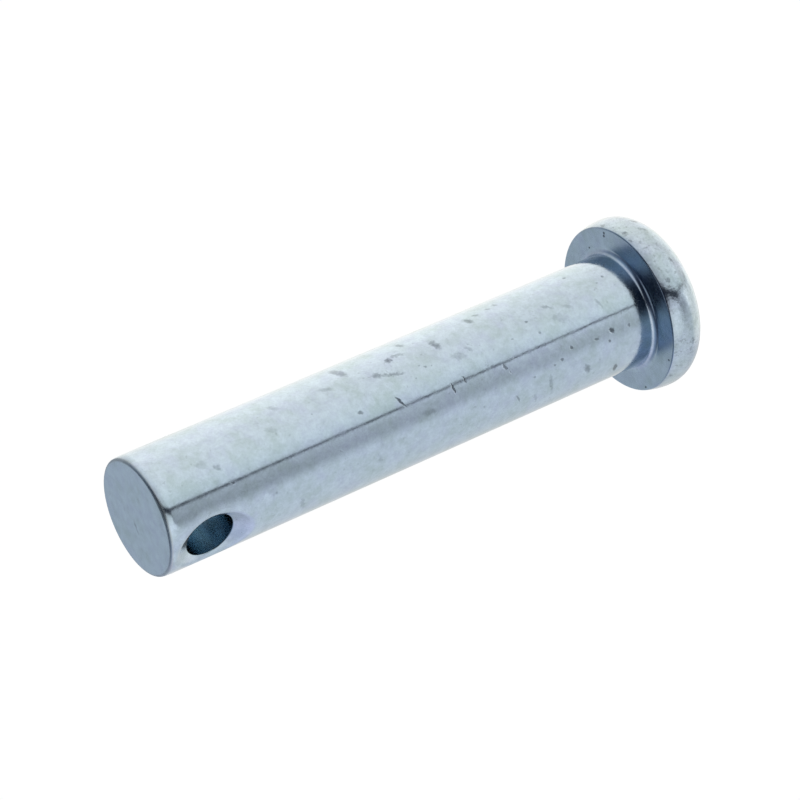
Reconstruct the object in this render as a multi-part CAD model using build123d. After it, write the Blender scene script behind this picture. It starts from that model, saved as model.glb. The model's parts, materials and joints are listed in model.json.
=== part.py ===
from build123d import *
import os
from math import atan2, degrees, radians, tan

# Clevis pin, headed and cross-drilled, in millimetres.
# The pin stands on its head: the origin is the middle of the head's outer face,
# +Z runs along the shank to the free end, and the cross hole runs along X.

# ---- Driving dimensions ------------------------------------------------------
shank_diameter = 15.9          # 5/8 in nominal
shank_length = 76.2            # from the seat under the head to the end face, 3 in
head_diameter = 24.1           # widest part of the barrel-shaped side
head_thickness = 6.0           # outer face to seat
head_corner_radius = 3.2       # large rounding between the outer face and the side
side_lean = 0.45               # how far the side leans in from its widest to the seat edge
seat_edge_radius = 0.2         # small break on the seat's outer edge
underhead_fillet = 0.8         # fillet between the seat and the shank
end_roll_length = 1.6          # rolled edge of the sheared end, along the pin
end_roll_depth = 0.15          # the same edge, across the pin
cross_hole_diameter = 6.75     # 17/64 in drill
cross_hole_to_end = 6.5        # hole axis to end face
countersink_width = 2.33       # how much wider than the hole its mouth is, per side
countersink_angle = 120.0      # included angle, as left by a drill point
cutter_overrun = 1.0           # how far the cutters stand out past the shank

# ---- Derived sizes -----------------------------------------------------------
shank_radius = shank_diameter / 2
head_radius = head_diameter / 2
seat_radius = head_radius - side_lean
total_length = head_thickness + shank_length
hole_radius = cross_hole_diameter / 2
hole_height = total_length - cross_hole_to_end
countersink_slope = tan(radians(countersink_angle / 2))
countersink_depth = countersink_width / countersink_slope

# The roundings are limited by the metal that they are cut in.
corner_radius = min(head_corner_radius, 0.8 * head_thickness, 0.6 * head_radius)
fillet_radius = min(underhead_fillet, 0.8 * (seat_radius - shank_radius - seat_edge_radius))


def arc_from_tangent(run, rise):
    """Radius and sweep of an arc that leaves a straight side and gains rise over run."""
    radius = (run * run + rise * rise) / (2 * rise)
    sweep = 2 * degrees(atan2(rise, run))
    return radius, sweep


def half_section():
    """Half of the pin's section, on the +X side of its axis."""
    barrel_radius, barrel_sweep = arc_from_tangent(head_thickness - corner_radius, side_lean)
    roll_radius, roll_sweep = arc_from_tangent(end_roll_length, end_roll_depth)
    flat_face_radius = head_radius - corner_radius
    fillet_centre = (shank_radius + fillet_radius, head_thickness + fillet_radius)
    roll_start = total_length - end_roll_length
    with BuildSketch(Plane.XZ) as section:
        with BuildLine():
            Line((0, 0), (flat_face_radius, 0))
            CenterArc((flat_face_radius, corner_radius), corner_radius, -90, 90)
            CenterArc((head_radius - barrel_radius, corner_radius), barrel_radius, 0, barrel_sweep)
            Line((seat_radius, head_thickness), (fillet_centre[0], head_thickness))
            CenterArc(fillet_centre, fillet_radius, 180, 90)
            Line((shank_radius, fillet_centre[1]), (shank_radius, roll_start))
            CenterArc((shank_radius - roll_radius, roll_start), roll_radius, 0, roll_sweep)
            Line((shank_radius - end_roll_depth, total_length), (0, total_length))
            Line((0, total_length), (0, 0))
        make_face()
        seat_corner = section.vertices().sort_by_distance((seat_radius, head_thickness))[0]
        fillet(seat_corner, seat_edge_radius)
    return section.sketch


def countersink_cutter(side):
    """Cone that opens one mouth of the cross hole; side is +1 or -1 along X."""
    height = countersink_depth + cutter_overrun
    mouth_radius = hole_radius + height * countersink_slope
    root = (side * (shank_radius - countersink_depth), 0, hole_height)
    direction = Plane(origin=root, z_dir=(side, 0, 0))
    cone = Cone(hole_radius, mouth_radius, height, align=(Align.CENTER, Align.CENTER, Align.MIN))
    return direction * cone


def clevis_pin():
    """The turned form, then the cross hole with both of its countersinks."""
    turned = revolve(half_section(), axis=Axis.Z)
    drill = Cylinder(hole_radius, 2 * (shank_radius + cutter_overrun), rotation=(0, 90, 0))
    drilled = turned - Pos(0, 0, hole_height) * drill
    for side in (1, -1):
        drilled = drilled - countersink_cutter(side)
    return drilled


pin = clevis_pin()
pin.label = "clevis_pin"

os.makedirs("parts", exist_ok=True)
export_step(pin, "parts/clevis_pin.step")
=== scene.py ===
import json
from math import cos, pi, radians, sin, sqrt, tan
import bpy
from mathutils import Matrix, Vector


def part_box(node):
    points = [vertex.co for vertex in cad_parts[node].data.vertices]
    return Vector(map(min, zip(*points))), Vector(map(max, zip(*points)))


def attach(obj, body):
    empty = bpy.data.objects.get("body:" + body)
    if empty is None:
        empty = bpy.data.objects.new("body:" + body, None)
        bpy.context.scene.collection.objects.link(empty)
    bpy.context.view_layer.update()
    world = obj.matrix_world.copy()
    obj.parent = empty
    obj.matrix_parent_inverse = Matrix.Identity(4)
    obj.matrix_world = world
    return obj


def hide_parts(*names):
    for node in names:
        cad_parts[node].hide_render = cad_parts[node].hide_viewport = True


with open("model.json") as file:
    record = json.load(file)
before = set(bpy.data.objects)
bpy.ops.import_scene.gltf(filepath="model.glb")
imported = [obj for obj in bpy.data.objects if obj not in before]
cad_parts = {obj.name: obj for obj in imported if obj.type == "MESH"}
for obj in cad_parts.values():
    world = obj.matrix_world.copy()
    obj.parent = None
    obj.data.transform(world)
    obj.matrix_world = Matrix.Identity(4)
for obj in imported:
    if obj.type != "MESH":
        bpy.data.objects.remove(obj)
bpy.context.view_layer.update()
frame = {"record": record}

from types import SimpleNamespace

import bmesh
import bpy
from bpy.props import FloatProperty, FloatVectorProperty, IntProperty, PointerProperty
from bpy.types import Operator, Panel, PropertyGroup
from bpy.utils import register_class, unregister_class
from mathutils import Matrix, Vector

bl_info = {
    "name": "Clevis Pin",
    "version": (1, 0, 0),
    "blender": (4, 5, 0),
    "location": "View3D > Sidebar > Clevis Pin",
    "description": "Dresses a zinc-plated clevis pin and sets it on a plain studio stage",
    "category": "Add Mesh",
}

NODE = "clevis_pin"
MM = 0.001


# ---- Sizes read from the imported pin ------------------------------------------

def mount(name):
    """A stated interface of the pin, by its name."""
    return next(m for m in frame["record"]["mounts"] if m["name"] == name)


NODE_LOW, NODE_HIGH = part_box(NODE)
TOTAL_LENGTH = NODE_HIGH.z
HEAD_RADIUS = NODE_HIGH.x
SHANK_RADIUS = mount("shank")["dims"]["r_mm"] * MM
SEAT_HEIGHT = mount("head_seat")["pos_m"][2]
HOLE_RADIUS = mount("cross_hole")["dims"]["r_mm"] * MM
HOLE_HEIGHT = mount("cross_hole")["pos_m"][2]

# How close two corners have to be to be taken for the same one, and to be merged.
SAME_CORNER = 0.02 * MM
MERGE_DISTANCE = 0.001 * MM
# Skin that is rebuilt past a countersink.
PATCH_MARGIN = 0.9 * MM

# ---- Where the camera stands --------------------------------------------------

# The turn about the pin's axis of its front, from which the marks on the pin and the light
# round it are counted. The camera stands in front too.
FRONT_TURN = radians(55.33)
CAMERA_RISE = radians(28.10)
CAMERA_ROLL = radians(-113.45)
CAMERA_DISTANCE = 407.7 * MM
CAMERA_AIM = Vector((-0.39, 0.27, 41.90)) * MM
LENS_MM = 142.2
SENSOR_MM = 36.0

# ---- Colours and strengths of the light ----------------------------------------

CEILING = (0.012, 0.022, 0.045, 1.0)
SKYLIGHT = (0.27, 0.30, 0.35, 1.0)
FIGURE = (0.003, 0.006, 0.016, 1.0)
SLEEVE = (0.04, 0.05, 0.06, 1.0)
NEAR_CARD = (0.96, 0.97, 0.97, 1.0)
FAR_CARD = (0.86, 0.90, 0.95, 1.0)
DUSK_TINT = (0.34, 0.43, 0.52)
NEAR_TINT = (1.22, 1.21, 1.20)
TENT_TINT = (1.037, 1.003, 0.959)
TENT_STRENGTH = 1.35
FLOOR_GLOW = 0.96
FLOOR_REACH = 4.0


# ---- What a user may change --------------------------------------------------

class PinSizes(PropertyGroup):
    """Sizes of the pin's roundings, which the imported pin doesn't state."""

    head_corner: FloatProperty(
        name="Head corner", description="Rounding between the outer face and the side",
        default=3.2 * MM, unit="LENGTH")
    side_lean: FloatProperty(
        name="Side lean", description="How far the head's side leans in at the seat",
        default=0.45 * MM, unit="LENGTH")
    seat_edge: FloatProperty(
        name="Seat edge", description="Break on the seat's outer edge",
        default=0.15 * MM, unit="LENGTH")
    fillet: FloatProperty(
        name="Fillet", description="Fillet between the seat and the shank",
        default=0.8 * MM, unit="LENGTH")
    end_roll_length: FloatProperty(
        name="End roll length", description="Rolled edge of the free end, along the pin",
        default=1.6 * MM, unit="LENGTH")
    end_roll_depth: FloatProperty(
        name="End roll depth", description="Rolled edge of the free end, across the pin",
        default=0.15 * MM, unit="LENGTH")
    end_edge: FloatProperty(
        name="End edge", description="Break on the end face's edge",
        default=0.30 * MM, unit="LENGTH")
    countersink_width: FloatProperty(
        name="Countersink width", description="How much wider than the hole its mouth is",
        default=2.33 * MM, unit="LENGTH")
    countersink_angle: FloatProperty(
        name="Countersink angle", description="Included angle of the countersink",
        default=radians(120), subtype="ANGLE", unit="ROTATION")
    mouth_edge: FloatProperty(
        name="Mouth edge", description="Soft edge between the countersink and the shank's skin",
        default=0.42 * MM, unit="LENGTH")
    bore_edge: FloatProperty(
        name="Bore edge", description="Break between the countersink and the bore",
        default=0.08 * MM, unit="LENGTH")
    steps_round: IntProperty(
        name="Steps round", description="Faces round the shank, a multiple of four",
        default=256, min=64)


class PinFinish(PropertyGroup):
    """Colours of the zinc plating and of the stage."""

    zinc: FloatVectorProperty(
        name="Zinc", description="Colour of the bright zinc under its blue passivation",
        default=(0.50, 0.605, 0.70), size=3, subtype="COLOR", min=0, max=1)
    floor: FloatVectorProperty(
        name="Floor", description="Colour of the pale floor",
        default=(0.25, 0.25, 0.25), size=3, subtype="COLOR", min=0, max=1)


# ---- Turned form -------------------------------------------------------------

def tangent_arc(run, rise):
    """Radius of an arc that leaves a straight side and gains rise over run, and its reach."""
    radius = (run * run + rise * rise) / (2 * rise)
    return radius, radius * rise / run


def patch_reach(sizes):
    """How far the patch that is rebuilt round a mouth reaches towards the head."""
    return HOLE_RADIUS + sizes.countersink_width + PATCH_MARGIN


def round_corner(bm, corner, reach, steps):
    """Rounds one corner of the half section."""
    bmesh.ops.bevel(bm, geom=[corner], offset=reach, offset_type="OFFSET", segments=steps,
                    profile=0.5, affect="VERTICES", material=-1, clamp_overlap=False)


def split_side(bm, low, high, steps):
    """Divides the straight side of the half section that joins two places."""
    def near(vert, place):
        return (vert.co - place).length < SAME_CORNER

    side = [edge for edge in bm.edges
            if (near(edge.verts[0], low) and near(edge.verts[1], high))
            or (near(edge.verts[0], high) and near(edge.verts[1], low))]
    if not side:
        raise RuntimeError(f"the half section has no side from {low} to {high}")
    bmesh.ops.subdivide_edges(bm, edges=side, cuts=steps - 1)


def half_section(bm, sizes):
    """The pin's half section: its corners, joined, rounded and divided into rows."""
    _, side_reach = tangent_arc(SEAT_HEIGHT - sizes.head_corner, sizes.side_lean)
    _, roll_reach = tangent_arc(sizes.end_roll_length, sizes.end_roll_depth)
    seat_radius = HEAD_RADIUS - sizes.side_lean
    end_radius = SHANK_RADIUS - sizes.end_roll_depth
    roll_foot = TOTAL_LENGTH - sizes.end_roll_length
    patch_foot = HOLE_HEIGHT - patch_reach(sizes)

    def corner(radius, height):
        return bm.verts.new((radius, 0, height))

    middle = corner(0, 0)
    face_edge = corner(HEAD_RADIUS, 0)
    side = corner(HEAD_RADIUS, sizes.head_corner + side_reach)
    seat_edge = corner(seat_radius, SEAT_HEIGHT)
    seat_hold = corner(seat_radius - 2.2 * sizes.seat_edge, SEAT_HEIGHT)
    fillet_hold = corner(SHANK_RADIUS + 1.2 * sizes.fillet, SEAT_HEIGHT)
    root = corner(SHANK_RADIUS, SEAT_HEIGHT)
    patch_row = corner(SHANK_RADIUS, patch_foot)
    roll_row = corner(SHANK_RADIUS, roll_foot)
    roll = corner(SHANK_RADIUS, roll_foot + roll_reach)
    end_edge = corner(end_radius, TOTAL_LENGTH)
    end_hold = corner(end_radius - 2.2 * sizes.end_edge, TOTAL_LENGTH)
    end_middle = corner(0, TOTAL_LENGTH)
    chain = (middle, face_edge, side, seat_edge, seat_hold, fillet_hold, root, patch_row,
             roll_row, roll, end_edge, end_hold, end_middle)
    for pair in zip(chain, chain[1:]):
        bm.edges.new(pair)
    places = {vert: vert.co.copy() for vert in chain}
    round_corner(bm, face_edge, sizes.head_corner, 24)
    round_corner(bm, side, side_reach - 1.3 * sizes.seat_edge, 12)
    round_corner(bm, seat_edge, sizes.seat_edge, 5)
    round_corner(bm, root, sizes.fillet, 20)
    round_corner(bm, roll, roll_reach - 1.3 * sizes.end_edge, 6)
    round_corner(bm, end_edge, sizes.end_edge, 5)
    inner_face = Vector((HEAD_RADIUS - sizes.head_corner, 0, 0))
    shank_foot = Vector((SHANK_RADIUS, 0, SEAT_HEIGHT + sizes.fillet))
    split_side(bm, places[middle], inner_face, 14)
    split_side(bm, places[seat_hold], places[fillet_hold], 5)
    split_side(bm, shank_foot, places[patch_row], 60)
    split_side(bm, places[patch_row], places[roll_row], 30)
    split_side(bm, places[end_hold], places[end_middle], 10)


def spin_outline(bm, sizes):
    """Spins the half section about the pin's axis and closes its seam and poles."""
    half_section(bm, sizes)
    bmesh.ops.spin(bm, geom=bm.verts[:] + bm.edges[:], cent=(0, 0, 0), axis=(0, 0, 1),
                   dvec=(0, 0, 0), angle=2 * pi, steps=sizes.steps_round, use_merge=True,
                   use_duplicate=False)
    bmesh.ops.remove_doubles(bm, verts=bm.verts[:], dist=MERGE_DISTANCE)


# ---- Cross hole --------------------------------------------------------------

def skin_x(y, z, sizes):
    """Distance of the shank's skin from the YZ plane."""
    roll_radius, _ = tangent_arc(sizes.end_roll_length, sizes.end_roll_depth)
    past = max(0.0, z - (TOTAL_LENGTH - sizes.end_roll_length))
    radius = SHANK_RADIUS - roll_radius + sqrt(roll_radius ** 2 - past ** 2)
    return sqrt(radius ** 2 - y ** 2)


def cone_x(radius, sizes):
    """Distance of the countersink's face from the YZ plane, at a radius from the hole's axis."""
    slope = tan(sizes.countersink_angle / 2)
    return SHANK_RADIUS - (HOLE_RADIUS + sizes.countersink_width - radius) / slope


def skin_beside_mouth(direction, radius, sizes):
    """Distance of the shank's skin from the YZ plane, at a radius from the hole's axis."""
    return skin_x(direction.x * radius, HOLE_HEIGHT + direction.y * radius, sizes)


def mouth_radius(direction, sizes):
    """Where the countersink meets the skin, found by halving the span it lies in."""
    low, high = HOLE_RADIUS, HOLE_RADIUS + sizes.countersink_width
    for _ in range(24):
        middle = (low + high) / 2
        if cone_x(middle, sizes) < skin_beside_mouth(direction, middle, sizes):
            low = middle
        else:
            high = middle
    return (low + high) / 2


def eased(first, corner, last, share):
    """A point on the smooth curve that rounds a corner between two places."""
    rest = 1 - share
    return first * rest * rest + corner * 2 * rest * share + last * share * share


def mouth_rings(direction, start, sizes):
    """Radius and depth of each ring, from the patch's edge to the middle of the hole."""
    crest = mouth_radius(direction, sizes)
    soft = min(sizes.mouth_edge, 0.6 * (crest - HOLE_RADIUS), 0.75 * (start - crest))
    crisp = sizes.bore_edge
    root = cone_x(HOLE_RADIUS, sizes)

    def on_skin(radius):
        return radius, skin_beside_mouth(direction, radius, sizes)

    def on_cone(radius):
        return radius, cone_x(radius, sizes)

    outer = crest + 1.25 * soft
    rings = [on_skin(start + (outer - start) * share) for share in (0.35, 0.7, 1.0)]
    first, last = on_skin(crest + soft), on_cone(crest - soft)
    for share in (0, 0.17, 0.33, 0.5, 0.67, 0.83, 1):
        depth = eased(first[1], cone_x(crest, sizes), last[1], share)
        rings.append((first[0] + (last[0] - first[0]) * share, depth))
    low, high = crest - 1.25 * soft, HOLE_RADIUS + 1.3 * crisp
    rings += [on_cone(low + (high - low) * share) for share in (0, 0.25, 0.5, 0.75, 1)]
    first = on_cone(HOLE_RADIUS + crisp)
    for share in (0, 0.33, 0.67, 1):
        radius = eased(first[0], HOLE_RADIUS, HOLE_RADIUS, share)
        rings.append((radius, eased(first[1], root, root - crisp, share)))
    deep = root - 1.3 * crisp
    rings += [(HOLE_RADIUS, deep * share) for share in (1, 0.85, 0.7, 0.55, 0.4, 0.25, 0.1, 0)]
    return rings


def open_mouth(bm, side, sizes):
    """Rebuilds the skin round one mouth, with its countersink and half of the bore."""
    reach = patch_reach(sizes)
    half_width = mouth_radius(Vector((1, 0)), sizes) + PATCH_MARGIN
    top = TOTAL_LENGTH - 1.35 * sizes.end_edge

    def in_patch(face):
        centre = face.calc_center_median()
        level = HOLE_HEIGHT - reach < centre.z < top
        return side * centre.x > 0 and abs(centre.y) < half_width and level

    patch = [face for face in bm.faces if in_patch(face)]
    inside = {edge for face in patch for edge in face.edges}
    loop = [edge for edge in inside if any(face not in patch for face in edge.link_faces)]
    bmesh.ops.delete(bm, geom=patch, context="FACES_ONLY")
    spare = [edge for edge in inside if edge not in loop]
    bmesh.ops.delete(bm, geom=spare, context="EDGES")
    tracks = {}
    for vert in {vert for edge in loop for vert in edge.verts}:
        offset = Vector((vert.co.y, vert.co.z - HOLE_HEIGHT))
        direction = offset.normalized()
        tracks[vert] = direction, mouth_rings(direction, offset.length, sizes)
    ring = loop
    for step in range(len(next(iter(tracks.values()))[1])):
        grown = bmesh.ops.extrude_edge_only(bm, edges=ring)["geom"]
        fresh = {item for item in grown if isinstance(item, bmesh.types.BMVert)}
        grown_tracks = {}
        for vert in fresh:
            source = next(edge.other_vert(vert) for edge in vert.link_edges
                          if edge.other_vert(vert) in tracks)
            direction, rings = tracks[source]
            radius, depth = rings[step]
            vert.co = (side * depth, direction.x * radius, HOLE_HEIGHT + direction.y * radius)
            grown_tracks[vert] = direction, rings
        tracks = grown_tracks
        ring = [item for item in grown if isinstance(item, bmesh.types.BMEdge)
                and all(vert in fresh for vert in item.verts)]


# ---- Materials ---------------------------------------------------------------

class Tree:
    """A short hand for adding and linking shader nodes."""

    def __init__(self, tree):
        self.tree = tree
        tree.nodes.clear()

    def node(self, kind, **settings):
        """A new node with its settings."""
        made = self.tree.nodes.new(kind)
        for key, value in settings.items():
            setattr(made, key, value)
        return made

    def put(self, socket, value):
        """Gives a socket a value, or links another node's output to it."""
        if isinstance(value, bpy.types.NodeSocket):
            self.tree.links.new(value, socket)
        else:
            socket.default_value = value

    def math(self, operation, *values, clamp=False):
        """The result of a Math node."""
        made = self.node("ShaderNodeMath", operation=operation, use_clamp=clamp)
        for socket, value in zip(made.inputs, values):
            self.put(socket, value)
        return made.outputs[0]

    def vector(self, operation, *values):
        """The result of a Vector Math node."""
        made = self.node("ShaderNodeVectorMath", operation=operation)
        for socket, value in zip(made.inputs, values):
            self.put(socket, value)
        return made.outputs["Value" if operation in {"DOT_PRODUCT", "DISTANCE", "LENGTH"} else 0]

    def scaled(self, vector, factor):
        """A vector or colour times a number."""
        made = self.node("ShaderNodeVectorMath", operation="SCALE")
        self.put(made.inputs[0], vector)
        self.put(made.inputs["Scale"], factor)
        return made.outputs[0]

    def span(self, value, low, high, to_low=0.0, to_high=1.0, smooth=False):
        """The value carried from low..high to to_low..to_high, and held past both ends."""
        kind = "SMOOTHSTEP" if smooth else "LINEAR"
        made = self.node("ShaderNodeMapRange", interpolation_type=kind, clamp=True)
        for socket, item in zip(made.inputs, (value, low, high, to_low, to_high)):
            self.put(socket, item)
        return made.outputs[0]

    def mix(self, factor, first, second):
        """A colour between two others."""
        made = self.node("ShaderNodeMix", data_type="RGBA")
        self.put(made.inputs[0], factor)
        self.put(made.inputs[6], first)
        self.put(made.inputs[7], second)
        return made.outputs[2]

    def noise(self, vector, scale, detail=3.0, roughness=0.5, output="Fac"):
        """A noise texture, its scale in lumps per unit of the place given."""
        made = self.node("ShaderNodeTexNoise")
        self.put(made.inputs["Vector"], vector)
        self.put(made.inputs["Scale"], scale)
        self.put(made.inputs["Detail"], detail)
        self.put(made.inputs["Roughness"], roughness)
        return made.outputs[output]

    def graph(self, value, points):
        """A line through points (place, height), as a number."""
        places = [place for place, _ in points]
        heights = [height for _, height in points]
        low, high = min(heights), max(heights)
        stops = []
        for place, height in points:
            level = (height - low) / (high - low)
            stops.append(((place - places[0]) / (places[-1] - places[0]), (level, level, level)))
        return self.span(self.ramp(self.span(value, places[0], places[-1]), stops), 0, 1, low, high)

    def ramp(self, factor, stops):
        """A colour between stops (place, colour)."""
        made = self.node("ShaderNodeValToRGB")
        elements = made.color_ramp.elements
        elements[0].position, elements[1].position = stops[0][0], stops[-1][0]
        for place, _ in stops[1:-1]:
            elements.new(place)
        for element, (_, colour) in zip(elements, stops):
            element.color = (*colour, 1.0)
        self.put(made.inputs[0], factor)
        return made.outputs[0]


def new_material(name):
    """A named material with an emptied node tree."""
    material = bpy.data.materials.new(name)
    material.use_nodes = True
    return material, Tree(material.node_tree)


# Nicks and smudges on the shank: height above the outer face, turn round the pin from its
# front in degrees, length, width, slant to the pin's axis in degrees, and the share of
# the light that the mark takes. A smudge's darkness is dirt; a nick's is painted shade,
# the dark reflection that the cut catches.
SHANK_NICKS = (
    (46.2, 2.0, 2.0, 0.34, 66, 0.80),
    (38.4, -6.5, 1.6, 0.38, 84, 0.75),
    (36.4, -3.0, 1.1, 0.32, 78, 0.58),
    (30.2, -7.0, 0.9, 0.55, 60, 0.55),
    (28.2, -3.2, 0.9, 0.35, 8, 0.36),
    (29.6, -14.0, 0.8, 0.26, 62, 0.25),
    (52.0, 7.0, 0.85, 0.60, 20, 0.52),
    (40.6, 23.0, 0.55, 0.32, 30, 0.42),
    (41.2, 26.5, 0.32, 0.28, 0, 0.34),
    (39.7, 21.5, 0.30, 0.26, 0, 0.34),
    (42.6, 16.0, 0.32, 0.26, 40, 0.30),
    (33.4, 27.0, 0.34, 0.28, 20, 0.30),
    (24.2, 24.4, 0.50, 0.42, 0, 0.50),
    (23.3, 9.0, 0.40, 0.32, 0, 0.38),
    (27.4, 14.0, 0.36, 0.28, 30, 0.30),
    (13.2, 12.5, 1.9, 0.40, 76, 0.22),
    (10.2, 37.0, 0.45, 0.40, 0, 0.44),
    (11.6, 33.0, 0.36, 0.30, 0, 0.34),
    (14.5, 56.0, 0.60, 0.55, 0, 0.42),
    (12.6, 27.0, 0.36, 0.30, 0, 0.32),
    (13.0, -16.0, 1.05, 0.75, 30, 0.74),
    (13.6, -25.0, 0.46, 0.40, 0, 0.55),
    (15.6, -18.0, 0.95, 0.42, 18, 0.46),
    (19.7, -15.5, 0.70, 0.50, 30, 0.55),
    (21.5, -22.5, 0.62, 0.55, 0, 0.52),
    (22.8, -25.0, 0.50, 0.36, 20, 0.42),
    (10.2, -18.0, 0.55, 0.60, 0, 0.42),
    (12.5, -60.0, 1.7, 0.80, 80, 0.62),
    (29.0, -43.0, 1.4, 0.32, 62, 0.42),
    (26.2, -28.0, 0.36, 0.32, 0, 0.36),
    (34.5, -36.0, 0.40, 0.30, 50, 0.26),
    (56.5, -18.0, 0.60, 0.34, 40, 0.24),
    (72.0, -5.0, 0.60, 0.42, 30, 0.45),
    (66.5, -30.0, 0.45, 0.34, 0, 0.26),
    (58.0, 24.0, 0.42, 0.30, 60, 0.26),
)
SHANK_SMUDGES = (
    (47.1, 34.0, 1.3, 0.95, 30, 0.48),
    (45.3, 29.0, 3.6, 0.60, 20, 0.44),
    (44.2, 45.5, 1.1, 1.0, 0, 0.68),
    (42.6, 47.0, 1.9, 0.60, 14, 0.42),
    (37.3, 41.0, 2.0, 1.05, 78, 0.56),
    (50.8, 58.5, 3.0, 1.2, 72, 0.44),
    (41.0, 60.0, 1.6, 0.80, 60, 0.40),
    (30.7, 53.0, 1.6, 1.0, 62, 0.50),
    (29.0, 56.5, 0.8, 0.55, 20, 0.40),
    (27.0, 58.5, 0.9, 0.60, 20, 0.40),
    (25.7, 60.5, 0.9, 0.60, 20, 0.38),
    (35.6, 20.0, 2.2, 1.2, 20, 0.28),
    (33.8, 22.5, 1.2, 0.50, 40, 0.26),
    (20.2, 30.0, 1.8, 0.45, 34, 0.36),
    (19.5, 14.5, 2.6, 1.3, 30, 0.22),
    (17.6, 22.0, 1.6, 0.60, 34, 0.22),
    (73.0, 13.0, 1.3, 0.65, 55, 0.36),
    (74.7, 21.0, 1.6, 1.2, 30, 0.20),
    (61.7, 47.0, 1.5, 0.90, 50, 0.24),
    (64.0, 25.0, 1.6, 0.70, 30, 0.18),
    (54.2, 43.0, 1.9, 0.80, 20, 0.26),
    (17.5, -44.0, 1.8, 1.0, 66, 0.44),
    (23.5, -45.0, 3.4, 0.50, 84, 0.30),
    (42.7, -18.0, 2.4, 0.85, 10, 0.28),
    (62.7, -56.0, 2.2, 0.55, 80, 0.26),
    (26.0, -52.0, 2.0, 0.50, 74, 0.22),
    (51.0, -40.0, 1.8, 0.60, 70, 0.18),
    (67.0, -28.0, 1.8, 0.90, 30, 0.18),
)
# The same for the head's rounded side.
RIM_MARKS = (
    (2.45, 56.4, 1.3, 0.60, 60, 0.62),
    (2.85, 45.0, 1.6, 0.45, 62, 0.46),
    (5.20, 48.9, 1.0, 0.45, 80, 0.52),
    (5.60, 40.5, 0.8, 0.40, 70, 0.44),
    (5.35, 71.5, 0.8, 0.35, 70, 0.24),
    (2.72, 16.0, 0.9, 0.42, 70, 0.46),
    (4.60, 4.5, 0.7, 0.55, 20, 0.58),
    (4.10, 9.5, 0.5, 0.35, 20, 0.24),
    (2.95, -39.8, 1.1, 0.40, 74, 0.42),
    (5.30, -67.5, 0.7, 0.45, 60, 0.44),
    (3.60, 26.0, 0.8, 0.35, 40, 0.18),
    (4.40, -58.0, 0.9, 0.40, 30, 0.20),
    (3.10, 66.0, 0.9, 0.40, 50, 0.26),
    (4.80, 30.0, 0.6, 0.30, 30, 0.22),
)
# A faint streak on the end face: its place across it in millimetres, and as above.
END_MARKS = ((-1.59, 0.20, 1.8, 0.45, 136, 0.30),)
SEAT_PITS = ((10.99, 66.2, 0.20), (10.55, 66.9, 0.20), (9.15, 92.0, 0.15), (11.07, -53.1, 0.16),
             (11.17, -96.3, 0.16))


def marks(tree, plane, scale_round, rows, hard):
    """Soft-edged spots on an unrolled surface, the darkest of them winning."""
    total = None
    for height, turn, length, width, slant, darkness in rows:
        centre = Vector((turn * scale_round, height, 0))
        lengthwise = Vector((sin(radians(slant)), cos(radians(slant)), 0)) * 2 / length
        crosswise = Vector((cos(radians(slant)), -sin(radians(slant)), 0)) * 2 / width
        first = tree.math("SUBTRACT", tree.vector("DOT_PRODUCT", plane, lengthwise),
                          centre.dot(lengthwise))
        second = tree.math("SUBTRACT", tree.vector("DOT_PRODUCT", plane, crosswise),
                           centre.dot(crosswise))
        away = tree.math("MULTIPLY_ADD", first, first, tree.math("MULTIPLY", second, second))
        mask = tree.span(away, 1.6 - 0.3 * hard, 0.05 + 0.15 * hard, 0, darkness, smooth=True)
        total = mask if total is None else tree.math("MAXIMUM", total, mask)
    return total


def join(tree, first, second):
    """A place on a flat surface, from two numbers."""
    joined = tree.node("ShaderNodeCombineXYZ")
    tree.put(joined.inputs[0], first)
    tree.put(joined.inputs[1], second)
    return joined.outputs[0]


def turn_and_reach(tree, way):
    """Turn about the pin's axis from its front, in degrees, and the reach towards the front."""
    ahead = Vector((cos(FRONT_TURN), sin(FRONT_TURN), 0))
    aside = Vector((-sin(FRONT_TURN), cos(FRONT_TURN), 0))
    along = tree.vector("DOT_PRODUCT", way, ahead)
    across = tree.vector("DOT_PRODUCT", way, aside)
    return tree.math("DEGREES", tree.math("ARCTAN2", across, along)), along


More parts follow.
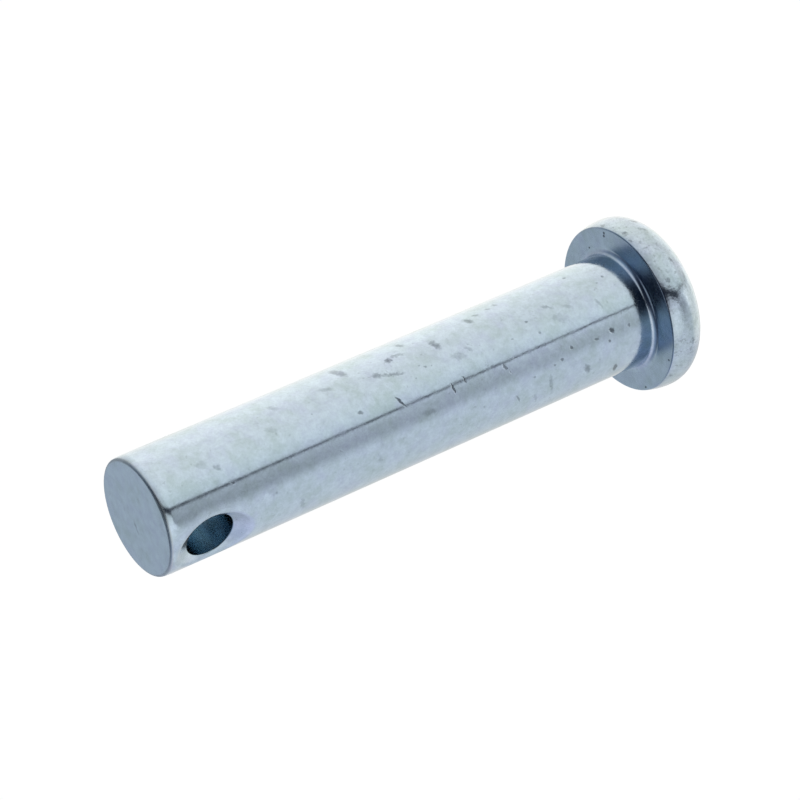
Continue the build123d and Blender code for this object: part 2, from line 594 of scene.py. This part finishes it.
def pin_surfaces(tree, spot, sizes):
    """Where a spot lies, in millimetres, and how far it is on each surface of the pin."""
    at = SimpleNamespace(spot=spot)
    parts = tree.node("ShaderNodeSeparateXYZ")
    tree.put(parts.inputs[0], spot)
    x, y, at.z = parts.outputs
    at.flat = join(tree, x, y)
    at.turn, _ = turn_and_reach(tree, spot)
    radius = tree.vector("LENGTH", at.flat)
    seat, end, fillet = SEAT_HEIGHT / MM, TOTAL_LENGTH / MM, sizes.fillet / MM
    skin, bore = SHANK_RADIUS / MM, HOLE_RADIUS / MM
    root, end_radius = skin + fillet, skin - sizes.end_roll_depth / MM

    at.on_shank = tree.math("MULTIPLY", tree.span(at.z, seat + fillet, seat + fillet + 1),
                            tree.span(radius, skin - 0.6, skin - 0.3))
    at.on_rim = tree.span(at.z, seat - 0.02, seat - 0.12)
    low = tree.math("MULTIPLY",
                    tree.span(at.z, seat + fillet + 0.05, seat + 0.6 * fillet, smooth=True),
                    tree.span(radius, root - 0.05, root - 0.35, smooth=True))
    at.on_fillet = tree.math("MULTIPLY", low, tree.math("SUBTRACT", 1.0, at.on_rim))
    at.on_seat = tree.math("MULTIPLY", tree.span(radius, root, root + 0.3),
                           tree.span(at.z, seat - 0.12, seat - 0.02))
    at.on_end = tree.span(at.z, end - 0.3, end - 0.1)
    at.on_flat = tree.math("MAXIMUM", at.on_seat, at.on_end)
    at.on_end_edge = tree.math("MULTIPLY",
                               tree.span(radius, end_radius - 0.40, end_radius - 0.15),
                               tree.span(at.z, end - 0.5, end - 0.25))
    from_axis = tree.vector("LENGTH", join(tree, y, tree.math("SUBTRACT", at.z, HOLE_HEIGHT / MM)))
    at.in_bore = tree.span(from_axis, bore + 0.16, bore + 0.02)
    at.round_mouth = tree.math("MULTIPLY", tree.math("SUBTRACT", 1.0, at.in_bore),
                               tree.span(from_axis, bore + 2.0, bore + 1.2))
    return at


def seat_pits(tree, spot):
    """Small round pits in the seat; their darkening in the colour is painted shade."""
    pits = None
    for distance_out, around, size in SEAT_PITS:
        angle = FRONT_TURN + radians(around)
        centre = (distance_out * cos(angle), distance_out * sin(angle), SEAT_HEIGHT / MM)
        distance = tree.vector("DISTANCE", spot, centre)
        pit = tree.span(distance, size * 1.3, size * 0.6, 0, 0.75, smooth=True)
        pits = pit if pits is None else tree.math("MAXIMUM", pits, pit)
    return pits


def dark_flecks(tree, at):
    """Fine dark flecks that crowd together here and there, and keep off the flat faces."""
    crowding = tree.span(tree.noise(at.spot, 0.15, 2.0, 0.5), 0.40, 0.62)
    threshold = tree.math("SUBTRACT", tree.span(at.on_rim, 0, 1, 0.70, 0.65),
                          tree.math("MULTIPLY", crowding, 0.05))
    field = tree.noise(at.spot, 1.7, 2.0, 0.5)
    flecks = tree.span(tree.math("SUBTRACT", field, threshold), 0.0, 0.07, smooth=True)
    flecks = tree.math("MULTIPLY", flecks, tree.span(at.on_rim, 0, 1, 0.15, 0.22))
    return tree.math("MULTIPLY", flecks, tree.math("SUBTRACT", 1.0, at.on_flat))


def wear(tree, at):
    """What handling left on the pin: cuts into the skin, smudges on it and dark flecks."""
    wander = tree.vector("SUBTRACT", tree.noise(at.spot, 2.4, 2.0, 0.6, "Color"), (0.5, 0.5, 0.5))

    def ragged(plane, reach):
        return tree.vector("ADD", plane, tree.vector("MULTIPLY", wander, (reach, reach, 0)))

    def on_round(surface, radius, reach, rows, hard):
        """Marks on a round surface, which is unrolled at its radius."""
        scale = radians(1) * radius / MM
        plane = join(tree, tree.math("MULTIPLY", at.turn, scale), at.z)
        return tree.math("MULTIPLY", surface, marks(tree, ragged(plane, reach), scale, rows, hard))

    nicks = on_round(at.on_shank, SHANK_RADIUS, 0.45, SHANK_NICKS, 1)
    smudges = on_round(at.on_shank, SHANK_RADIUS, 0.9, SHANK_SMUDGES, 0)
    rubs = on_round(at.on_rim, HEAD_RADIUS, 0.8, RIM_MARKS, 0)
    streak = tree.math("MULTIPLY", at.on_end, marks(tree, ragged(at.flat, 0.6), 1, END_MARKS, 0))
    smudges = tree.math("MAXIMUM", smudges, tree.math("MAXIMUM", rubs, streak))
    patchy = tree.span(tree.noise(at.spot, 2.2, 2.0, 0.6), 0.38, 0.56, 0.65, 1.0)
    return SimpleNamespace(cuts=tree.math("MAXIMUM", nicks, seat_pits(tree, at.spot)),
                           smudges=tree.math("MULTIPLY", smudges, patchy),
                           flecks=dark_flecks(tree, at))


def mottled_zinc(tree, at, grain, finish):
    """Clean plating: pale clouds, lavender to grey-green, with grain between them."""
    clouds = tree.noise(at.spot, 0.26, 3.0, 0.55)
    patches = tree.noise(at.spot, 0.80, 3.0, 0.55)
    zinc = (*finish.zinc, 1.0)
    lavender = (finish.zinc[0] * 1.02, finish.zinc[1] * 0.995, finish.zinc[2] * 1.05, 1.0)
    greenish = (finish.zinc[0] * 0.99, finish.zinc[1] * 1.01, finish.zinc[2] * 0.96, 1.0)
    tone = tree.mix(tree.span(clouds, 0.38, 0.62, smooth=True), greenish, lavender)
    tone = tree.mix(tree.span(patches, 0.36, 0.66), tone, zinc)
    cloud_shade = tree.span(clouds, 0.36, 0.64, 0.975, 1.025)
    patch_shade = tree.span(patches, 0.34, 0.66, 0.935, 1.065)
    coarse = tree.math("SUBTRACT", tree.span(at.on_rim, 0, 1, 0.05, 0.09),
                       tree.math("MULTIPLY", at.on_flat, 0.042))
    grain_shade = tree.span(grain, 0.34, 0.66, tree.math("SUBTRACT", 1.0, coarse),
                            tree.math("ADD", 1.0, coarse))
    shade = tree.math("MULTIPLY", cloud_shade, tree.math("MULTIPLY", patch_shade, grain_shade))
    return tree.scaled(tone, shade)


def zinc_colour(tree, at, worn, grain, finish):
    """The plating's colour, tinted by surface, with its brown blots and its wear, and with painted
    shade and a painted reflection in places.
    """
    colour = mottled_zinc(tree, at, grain, finish)
    # The rim's darker tint is painted shade, the fillet's lighter, bluer tint a painted reflection,
    # and the end edge is tinted warmer.
    for surface, tint in ((at.on_rim, (0.94, 0.93, 0.91, 1)),
                          (at.on_fillet, (1.05, 1.04, 1.08, 1)),
                          (at.on_end_edge, (1.02, 0.96, 0.88, 1))):
        colour = tree.vector("MULTIPLY", colour, tree.mix(surface, (1, 1, 1, 1), tint))
    dark = tree.vector("MULTIPLY", colour, (0.04, 0.05, 0.06))
    brown = tree.vector("MULTIPLY", colour, (0.12, 0.09, 0.05))
    blots = tree.span(tree.noise(tree.vector("ADD", at.spot, (31.0, 7.0, 0.0)), 0.62, 4.0, 0.65),
                      0.57, 0.74, 0.0, 0.30)
    blots = tree.math("MULTIPLY", blots, tree.span(at.on_rim, 0, 1, 0.35, 1.0))
    colour = tree.mix(blots, colour, brown)
    colour = tree.mix(worn.flecks, colour, brown)
    # The smudges' darkening is dirt; the cuts' near-black darkening is painted shade, in the nicks
    # the dark reflection that they catch and in the pits the shade in them.
    colour = tree.mix(worn.smudges, colour, dark)
    colour = tree.mix(worn.cuts, colour, dark)
    # Darker and bluer inside the bore: painted shade in the hole.
    bore = tree.vector("MULTIPLY", colour, (0.78, 0.85, 0.85))
    return tree.mix(at.in_bore, colour, bore)


def zinc_roughness(tree, at, worn):
    """Brighter metal between slightly duller clouds, with duller flecks, flats, edges and bore."""
    roughness = tree.span(tree.noise(at.spot, 0.6, 3.0, 0.6), 0.3, 0.7, 0.10, 0.17)
    for surface, more in ((worn.flecks, 0.5), (at.on_seat, 0.13), (at.on_end, 0.07),
                          (at.on_end_edge, 0.25), (at.on_fillet, 0.10), (at.in_bore, 0.06),
                          (at.round_mouth, 0.12)):
        roughness = tree.math("ADD", roughness, tree.math("MULTIPLY", surface, more))
    return roughness


def zinc_relief(tree, at, worn, grain):
    """Faint waves and ripples, fine tooth, and the cuts, in millimetres."""
    waves = tree.math("MULTIPLY", tree.noise(at.spot, 0.55, 1.0, 0.5),
                      tree.span(at.on_rim, 0, 1, tree.span(at.z, 52, 30, 0.010, 0.016), 0.030))
    ripples = tree.math("MULTIPLY", tree.noise(at.spot, 1.5, 1.0, 0.5),
                        tree.math("MULTIPLY", at.on_shank, tree.span(at.z, 52, 34, 0.0015, 0.005)))
    fine = tree.span(at.on_flat, 0, 1, 0.003, 0.001)
    tooth = tree.math("MULTIPLY", grain, tree.span(at.on_rim, 0, 1, fine, 0.012))
    cuts = tree.math("MULTIPLY", worn.cuts, -0.03)
    return tree.math("ADD", tree.math("ADD", waves, ripples), tree.math("ADD", tooth, cuts))


def zinc_material(sizes, finish):
    """Bright zinc with a faint blue passivation, satin, mottled, nicked and a little smudged, with
    painted shade on its rim, cuts, pits and bore and a painted reflection on its fillet.
    """
    material, tree = new_material("zinc_plated_steel")
    shader = tree.node("ShaderNodeBsdfPrincipled")
    output = tree.node("ShaderNodeOutputMaterial")
    tree.put(output.inputs["Surface"], shader.outputs[0])
    shader.inputs["Metallic"].default_value = 1.0
    place = tree.node("ShaderNodeTexCoord").outputs["Object"]
    spot = tree.vector("MULTIPLY", place, (1 / MM, 1 / MM, 1 / MM))
    at = pin_surfaces(tree, spot, sizes)
    worn = wear(tree, at)
    grain = tree.noise(spot, 2.6, 3.0, 0.65)
    tree.put(shader.inputs["Base Color"], zinc_colour(tree, at, worn, grain, finish))
    tree.put(shader.inputs["Roughness"], zinc_roughness(tree, at, worn))
    bump = tree.node("ShaderNodeBump")
    bump.inputs["Strength"].default_value = 1.0
    bump.inputs["Distance"].default_value = MM
    tree.put(bump.inputs["Height"], zinc_relief(tree, at, worn, grain))
    tree.put(shader.inputs["Normal"], bump.outputs[0])
    return material


# ---- Operators ---------------------------------------------------------------

def place_on_body(piece):
    """Puts a finished piece on the pin's body."""
    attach(piece, "root")


class CLEVIS_OT_pin(Operator):
    """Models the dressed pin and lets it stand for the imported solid"""

    bl_idname = "clevis.pin"
    bl_label = "Dressed Pin"

    def execute(self, context):
        sizes = context.scene.pin_sizes
        bm = bmesh.new()
        spin_outline(bm, sizes)
        for side in (1, -1):
            open_mouth(bm, side, sizes)
        bmesh.ops.remove_doubles(bm, verts=bm.verts[:], dist=MERGE_DISTANCE)
        bmesh.ops.recalc_face_normals(bm, faces=bm.faces[:])
        open_edges = [edge for edge in bm.edges if len(edge.link_faces) != 2]
        if open_edges:
            raise RuntimeError(f"the pin's skin has {len(open_edges)} open edges")
        for face in bm.faces:
            face.smooth = True
        mesh = bpy.data.meshes.new("dressed_pin")
        bm.to_mesh(mesh)
        bm.free()
        piece = bpy.data.objects.new("dressed_pin", mesh)
        context.scene.collection.objects.link(piece)
        mesh.materials.append(zinc_material(sizes, context.scene.pin_finish))
        place_on_body(piece)
        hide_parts(NODE)
        return {"FINISHED"}


def camera_way():
    """Unit vector from the aim point to the camera."""
    level = Vector((cos(FRONT_TURN), sin(FRONT_TURN), 0)) * cos(CAMERA_RISE)
    return level + Vector((0, 0, sin(CAMERA_RISE)))


def add_camera(scene):
    """A long-lens camera beside the free end, turned so that the pin lies across its frame."""
    data = bpy.data.cameras.new("camera")
    data.lens = LENS_MM
    data.sensor_width = SENSOR_MM
    data.clip_start = 0.01
    camera = bpy.data.objects.new("camera", data)
    scene.collection.objects.link(camera)
    camera.location = CAMERA_AIM + camera_way() * CAMERA_DISTANCE
    level = camera_way().to_track_quat("Z", "Y").to_matrix()
    camera.rotation_euler = (level @ Matrix.Rotation(CAMERA_ROLL, 3, "Z")).to_euler()
    scene.camera = camera


def tent_walls(tree, way):
    """The white table, the dim room above it and the ground under the table's edge."""
    def all_round(stops):
        places = [(degrees / 360 + 0.5, colour) for degrees, colour in stops]
        return tree.ramp(tree.span(way.turn, -180, 180), places)

    table = all_round([
        (-180, (0.66, 0.67, 0.67)), (-166, (0.56, 0.57, 0.58)), (-150, (0.54, 0.56, 0.58)),
        (-120, (0.55, 0.58, 0.61)), (-52, (0.56, 0.59, 0.645)), (-8, (0.56, 0.59, 0.64)),
        (0, (0.57, 0.61, 0.64)), (8, (0.62, 0.66, 0.68)), (24, (0.68, 0.71, 0.715)),
        (50, (0.72, 0.73, 0.735)), (80, (0.76, 0.76, 0.755)), (104, (0.87, 0.86, 0.845)),
        (125, (0.93, 0.93, 0.90)), (155, (0.90, 0.90, 0.88)), (180, (0.66, 0.67, 0.67))])
    room = all_round([
        (-180, (0.33, 0.375, 0.425)), (-150, (0.34, 0.375, 0.435)), (-124, (0.38, 0.40, 0.47)),
        (-107, (0.53, 0.54, 0.66)), (-80, (0.52, 0.55, 0.63)), (-52, (0.63, 0.65, 0.68)),
        (-35, (0.57, 0.59, 0.63)), (0, (0.37, 0.38, 0.42)), (30, (0.37, 0.385, 0.43)),
        (60, (0.44, 0.47, 0.52)), (80, (0.41, 0.46, 0.51)), (105, (0.36, 0.385, 0.43)),
        (140, (0.32, 0.335, 0.38)), (180, (0.33, 0.375, 0.425))])
    ground = all_round([
        (-180, (1.00, 0.99, 0.96)), (-125, (0.88, 0.87, 0.85)), (-80, (0.78, 0.78, 0.77)),
        (-28, (0.80, 0.80, 0.79)), (-8, (0.63, 0.64, 0.65)), (8, (0.62, 0.63, 0.64)),
        (28, (0.74, 0.74, 0.73)), (60, (0.76, 0.76, 0.75)), (95, (0.94, 0.93, 0.91)),
        (125, (1.00, 0.99, 0.97)), (180, (1.00, 0.99, 0.96))])
    far_round = tree.span(tree.math("ABSOLUTE", way.turn), 95, 130, 0, 8, smooth=True)
    lifted = tree.span(tree.math("ADD", way.rise, far_round), -22, 4, smooth=True)
    far_left = tree.span(way.turn, -95, -130, 0, 8, smooth=True)
    sunk = tree.span(tree.math("ADD", way.rise, far_left), -36, -58, smooth=True)
    return tree.mix(sunk, tree.mix(lifted, table, room), ground)


def table_cards(tree, way, light):
    """Two paler cards on the table beside the figure, and a brighter strip close to the pin."""
    def band(value, middle, inner, outer):
        """One between middle - inner and middle + inner, and nothing past outer."""
        away = tree.math("ABSOLUTE", tree.math("SUBTRACT", value, middle))
        return tree.span(away, outer, inner, smooth=True)

    card = tree.math("MULTIPLY", band(way.turn, -20, 5, 15), band(way.rise, -47, 5, 14))
    light = tree.mix(tree.math("MULTIPLY", card, 0.6), light, NEAR_CARD)
    card = tree.math("MULTIPLY", band(way.turn, -42, 10, 26), band(way.rise, -11, 3, 9))
    light = tree.mix(tree.math("MULTIPLY", card, 0.4), light, FAR_CARD)
    near = tree.math("MULTIPLY", band(way.turn, -8, 26, 40), band(way.rise, -40, 4, 9))
    return tree.mix(near, light, tree.vector("MULTIPLY", light, NEAR_TINT))


def ceiling_and_skylight(tree, way, light):
    """The room gets darker with height, least of all behind the pin, up to a dim skylight."""
    behind = tree.span(way.along, -0.48, -0.80, smooth=True)
    dusk = tree.math("MULTIPLY", tree.span(way.rise, 12, 34, smooth=True),
                     tree.math("SUBTRACT", 1.0, behind))
    light = tree.mix(dusk, light, tree.vector("MULTIPLY", light, DUSK_TINT))
    overhead = tree.span(way.rise, 36, 66, smooth=True)
    gloom = tree.math("MULTIPLY", overhead, tree.span(behind, 0, 1, 0.95, 0.6))
    light = tree.mix(gloom, light, CEILING)
    return tree.mix(tree.span(way.rise, 69, 83, smooth=True), light, SKYLIGHT)


def dark_figure(tree, way, light):
    """A figure in a gap of the tent: broad above, it narrows downwards to a thin line."""
    middle = tree.graph(way.rise, (
        (-60, -4.0), (-32, -4.8), (-22, -10.2), (-17, -11.5), (-12, -9.0), (-7, -5.5),
        (-3, -3.5), (2, -6.0), (8, -6.0), (32, 8.0), (90, 12.0)))
    half_width = tree.graph(way.rise, (
        (-60, 1.3), (-30, 1.9), (-25, 2.2), (-21, 4.0), (-17, 7.0), (-12, 6.0), (-7, 5.5),
        (-3, 8.5), (2, 15.0), (8, 20.0), (32, 38.0), (60, 58.0), (90, 84.0)))
    depth = tree.graph(way.rise, (
        (-62, 0.25), (-40, 0.80), (-26, 0.95), (0, 0.97), (30, 0.99), (66, 0.99), (84, 0.0)))
    offset = tree.math("ABSOLUTE", tree.math("SUBTRACT", way.turn, middle))
    shade = tree.span(tree.math("DIVIDE", offset, half_width), 1.6, 0.55, smooth=True)
    return tree.mix(tree.math("MULTIPLY", shade, depth), light, FIGURE)


def grey_sleeve(tree, way, light):
    """The figure's sleeve lies beside it on the table, with a crisp upper edge."""
    edge = tree.graph(way.turn, ((-60, -21.0), (-36, -20.0), (-26, -18.5), (-16, -15.0),
                                 (-8, -14.0)))
    beside = tree.math("MULTIPLY", tree.span(way.turn, -9, -17, smooth=True),
                       tree.span(way.turn, -58, -34, smooth=True))
    cloth = tree.graph(tree.math("SUBTRACT", edge, way.rise), (
        (0.0, 0.0), (1.5, 0.72), (4.0, 0.55), (8.0, 0.38), (14.0, 0.26), (22.0, 0.08),
        (27.0, 0.0)))
    return tree.mix(tree.math("MULTIPLY", beside, cloth), light, SLEEVE)


def tent_world(scene):
    """The light round the pin: a white table, a dim room above it and a dark figure in front.

    The pin reflects all of it. Turn is the angle round the pin from its front and rise the
    angle above the level, both in degrees. Behind the pin the background is plain white.
    """
    world = bpy.data.worlds.new("light_tent")
    world.use_nodes = True
    scene.world = world
    tree = Tree(world.node_tree)
    ray = tree.node("ShaderNodeTexCoord").outputs["Generated"]
    turn, along = turn_and_reach(tree, ray)
    upward = tree.vector("DOT_PRODUCT", ray, (0, 0, 1))
    rise = tree.math("DEGREES", tree.math("ARCSINE", upward))
    way = SimpleNamespace(turn=turn, along=along, rise=rise)
    light = tent_walls(tree, way)
    for layer in (table_cards, ceiling_and_skylight, dark_figure, grey_sleeve):
        light = layer(tree, way, light)
    light = tree.vector("MULTIPLY", light, TENT_TINT)
    light = tree.scaled(light, tree.span(rise, -34, -23, 0.995, 1.07))

    tent = tree.node("ShaderNodeBackground")
    tree.put(tent.inputs[0], light)
    tent.inputs[1].default_value = TENT_STRENGTH
    plain = tree.node("ShaderNodeBackground")
    plain.inputs[0].default_value = (1, 1, 1, 1)
    path = tree.node("ShaderNodeLightPath")
    choose = tree.node("ShaderNodeMixShader")
    tree.put(choose.inputs[0], path.outputs["Is Camera Ray"])
    tree.put(choose.inputs[1], tent.outputs[0])
    tree.put(choose.inputs[2], plain.outputs[0])
    output = tree.node("ShaderNodeOutputWorld")
    tree.put(output.inputs[0], choose.outputs[0])


def floor_material(finish):
    """A pale floor, lit softly from below like a light table."""
    material, tree = new_material("pale_floor")
    plain = tree.node("ShaderNodeBsdfDiffuse")
    plain.inputs[0].default_value = (*finish.floor, 1.0)
    glow = tree.node("ShaderNodeEmission")
    glow.inputs[1].default_value = FLOOR_GLOW
    both = tree.node("ShaderNodeAddShader")
    tree.put(both.inputs[0], plain.outputs[0])
    tree.put(both.inputs[1], glow.outputs[0])
    output = tree.node("ShaderNodeOutputMaterial")
    tree.put(output.inputs[0], both.outputs[0])
    return material


class CLEVIS_OT_stage(Operator):
    """Lays the pale floor, the soft light tent and the camera"""

    bl_idname = "clevis.stage"
    bl_label = "Studio Stage"

    def execute(self, context):
        scene = context.scene
        bm = bmesh.new()
        bmesh.ops.create_grid(bm, x_segments=1, y_segments=1, size=FLOOR_REACH)
        mesh = bpy.data.meshes.new("floor")
        bm.to_mesh(mesh)
        bm.free()
        floor = bpy.data.objects.new("floor", mesh)
        scene.collection.objects.link(floor)
        floor.location.z = NODE_LOW.z
        floor.visible_glossy = False
        mesh.materials.append(floor_material(scene.pin_finish))
        tent_world(scene)
        add_camera(scene)
        scene.view_settings.view_transform = "Standard"
        return {"FINISHED"}


class CLEVIS_PT_panel(Panel):
    """Lists the pin's makers, sizes and colours"""

    bl_label = "Clevis Pin"
    bl_idname = "CLEVIS_PT_panel"
    bl_space_type = "VIEW_3D"
    bl_region_type = "UI"
    bl_category = "Clevis Pin"

    def draw(self, context):
        layout = self.layout
        for operator in OPERATORS:
            layout.operator(operator.bl_idname)
        for group in (context.scene.pin_sizes, context.scene.pin_finish):
            for name in group.__annotations__:
                layout.prop(group, name)


OPERATORS = (CLEVIS_OT_stage, CLEVIS_OT_pin)
CLASSES = (PinSizes, PinFinish, *OPERATORS, CLEVIS_PT_panel)


def register():
    """Registers the classes and hangs the sizes and colours on the scene."""
    for item in CLASSES:
        register_class(item)
    bpy.types.Scene.pin_sizes = PointerProperty(type=PinSizes)
    bpy.types.Scene.pin_finish = PointerProperty(type=PinFinish)


def unregister():
    """Takes away what register added."""
    del bpy.types.Scene.pin_finish
    del bpy.types.Scene.pin_sizes
    for item in reversed(CLASSES):
        unregister_class(item)


def main():
    register()
    bpy.ops.clevis.stage()
    bpy.ops.clevis.pin()


if __name__ == "__main__":
    main()
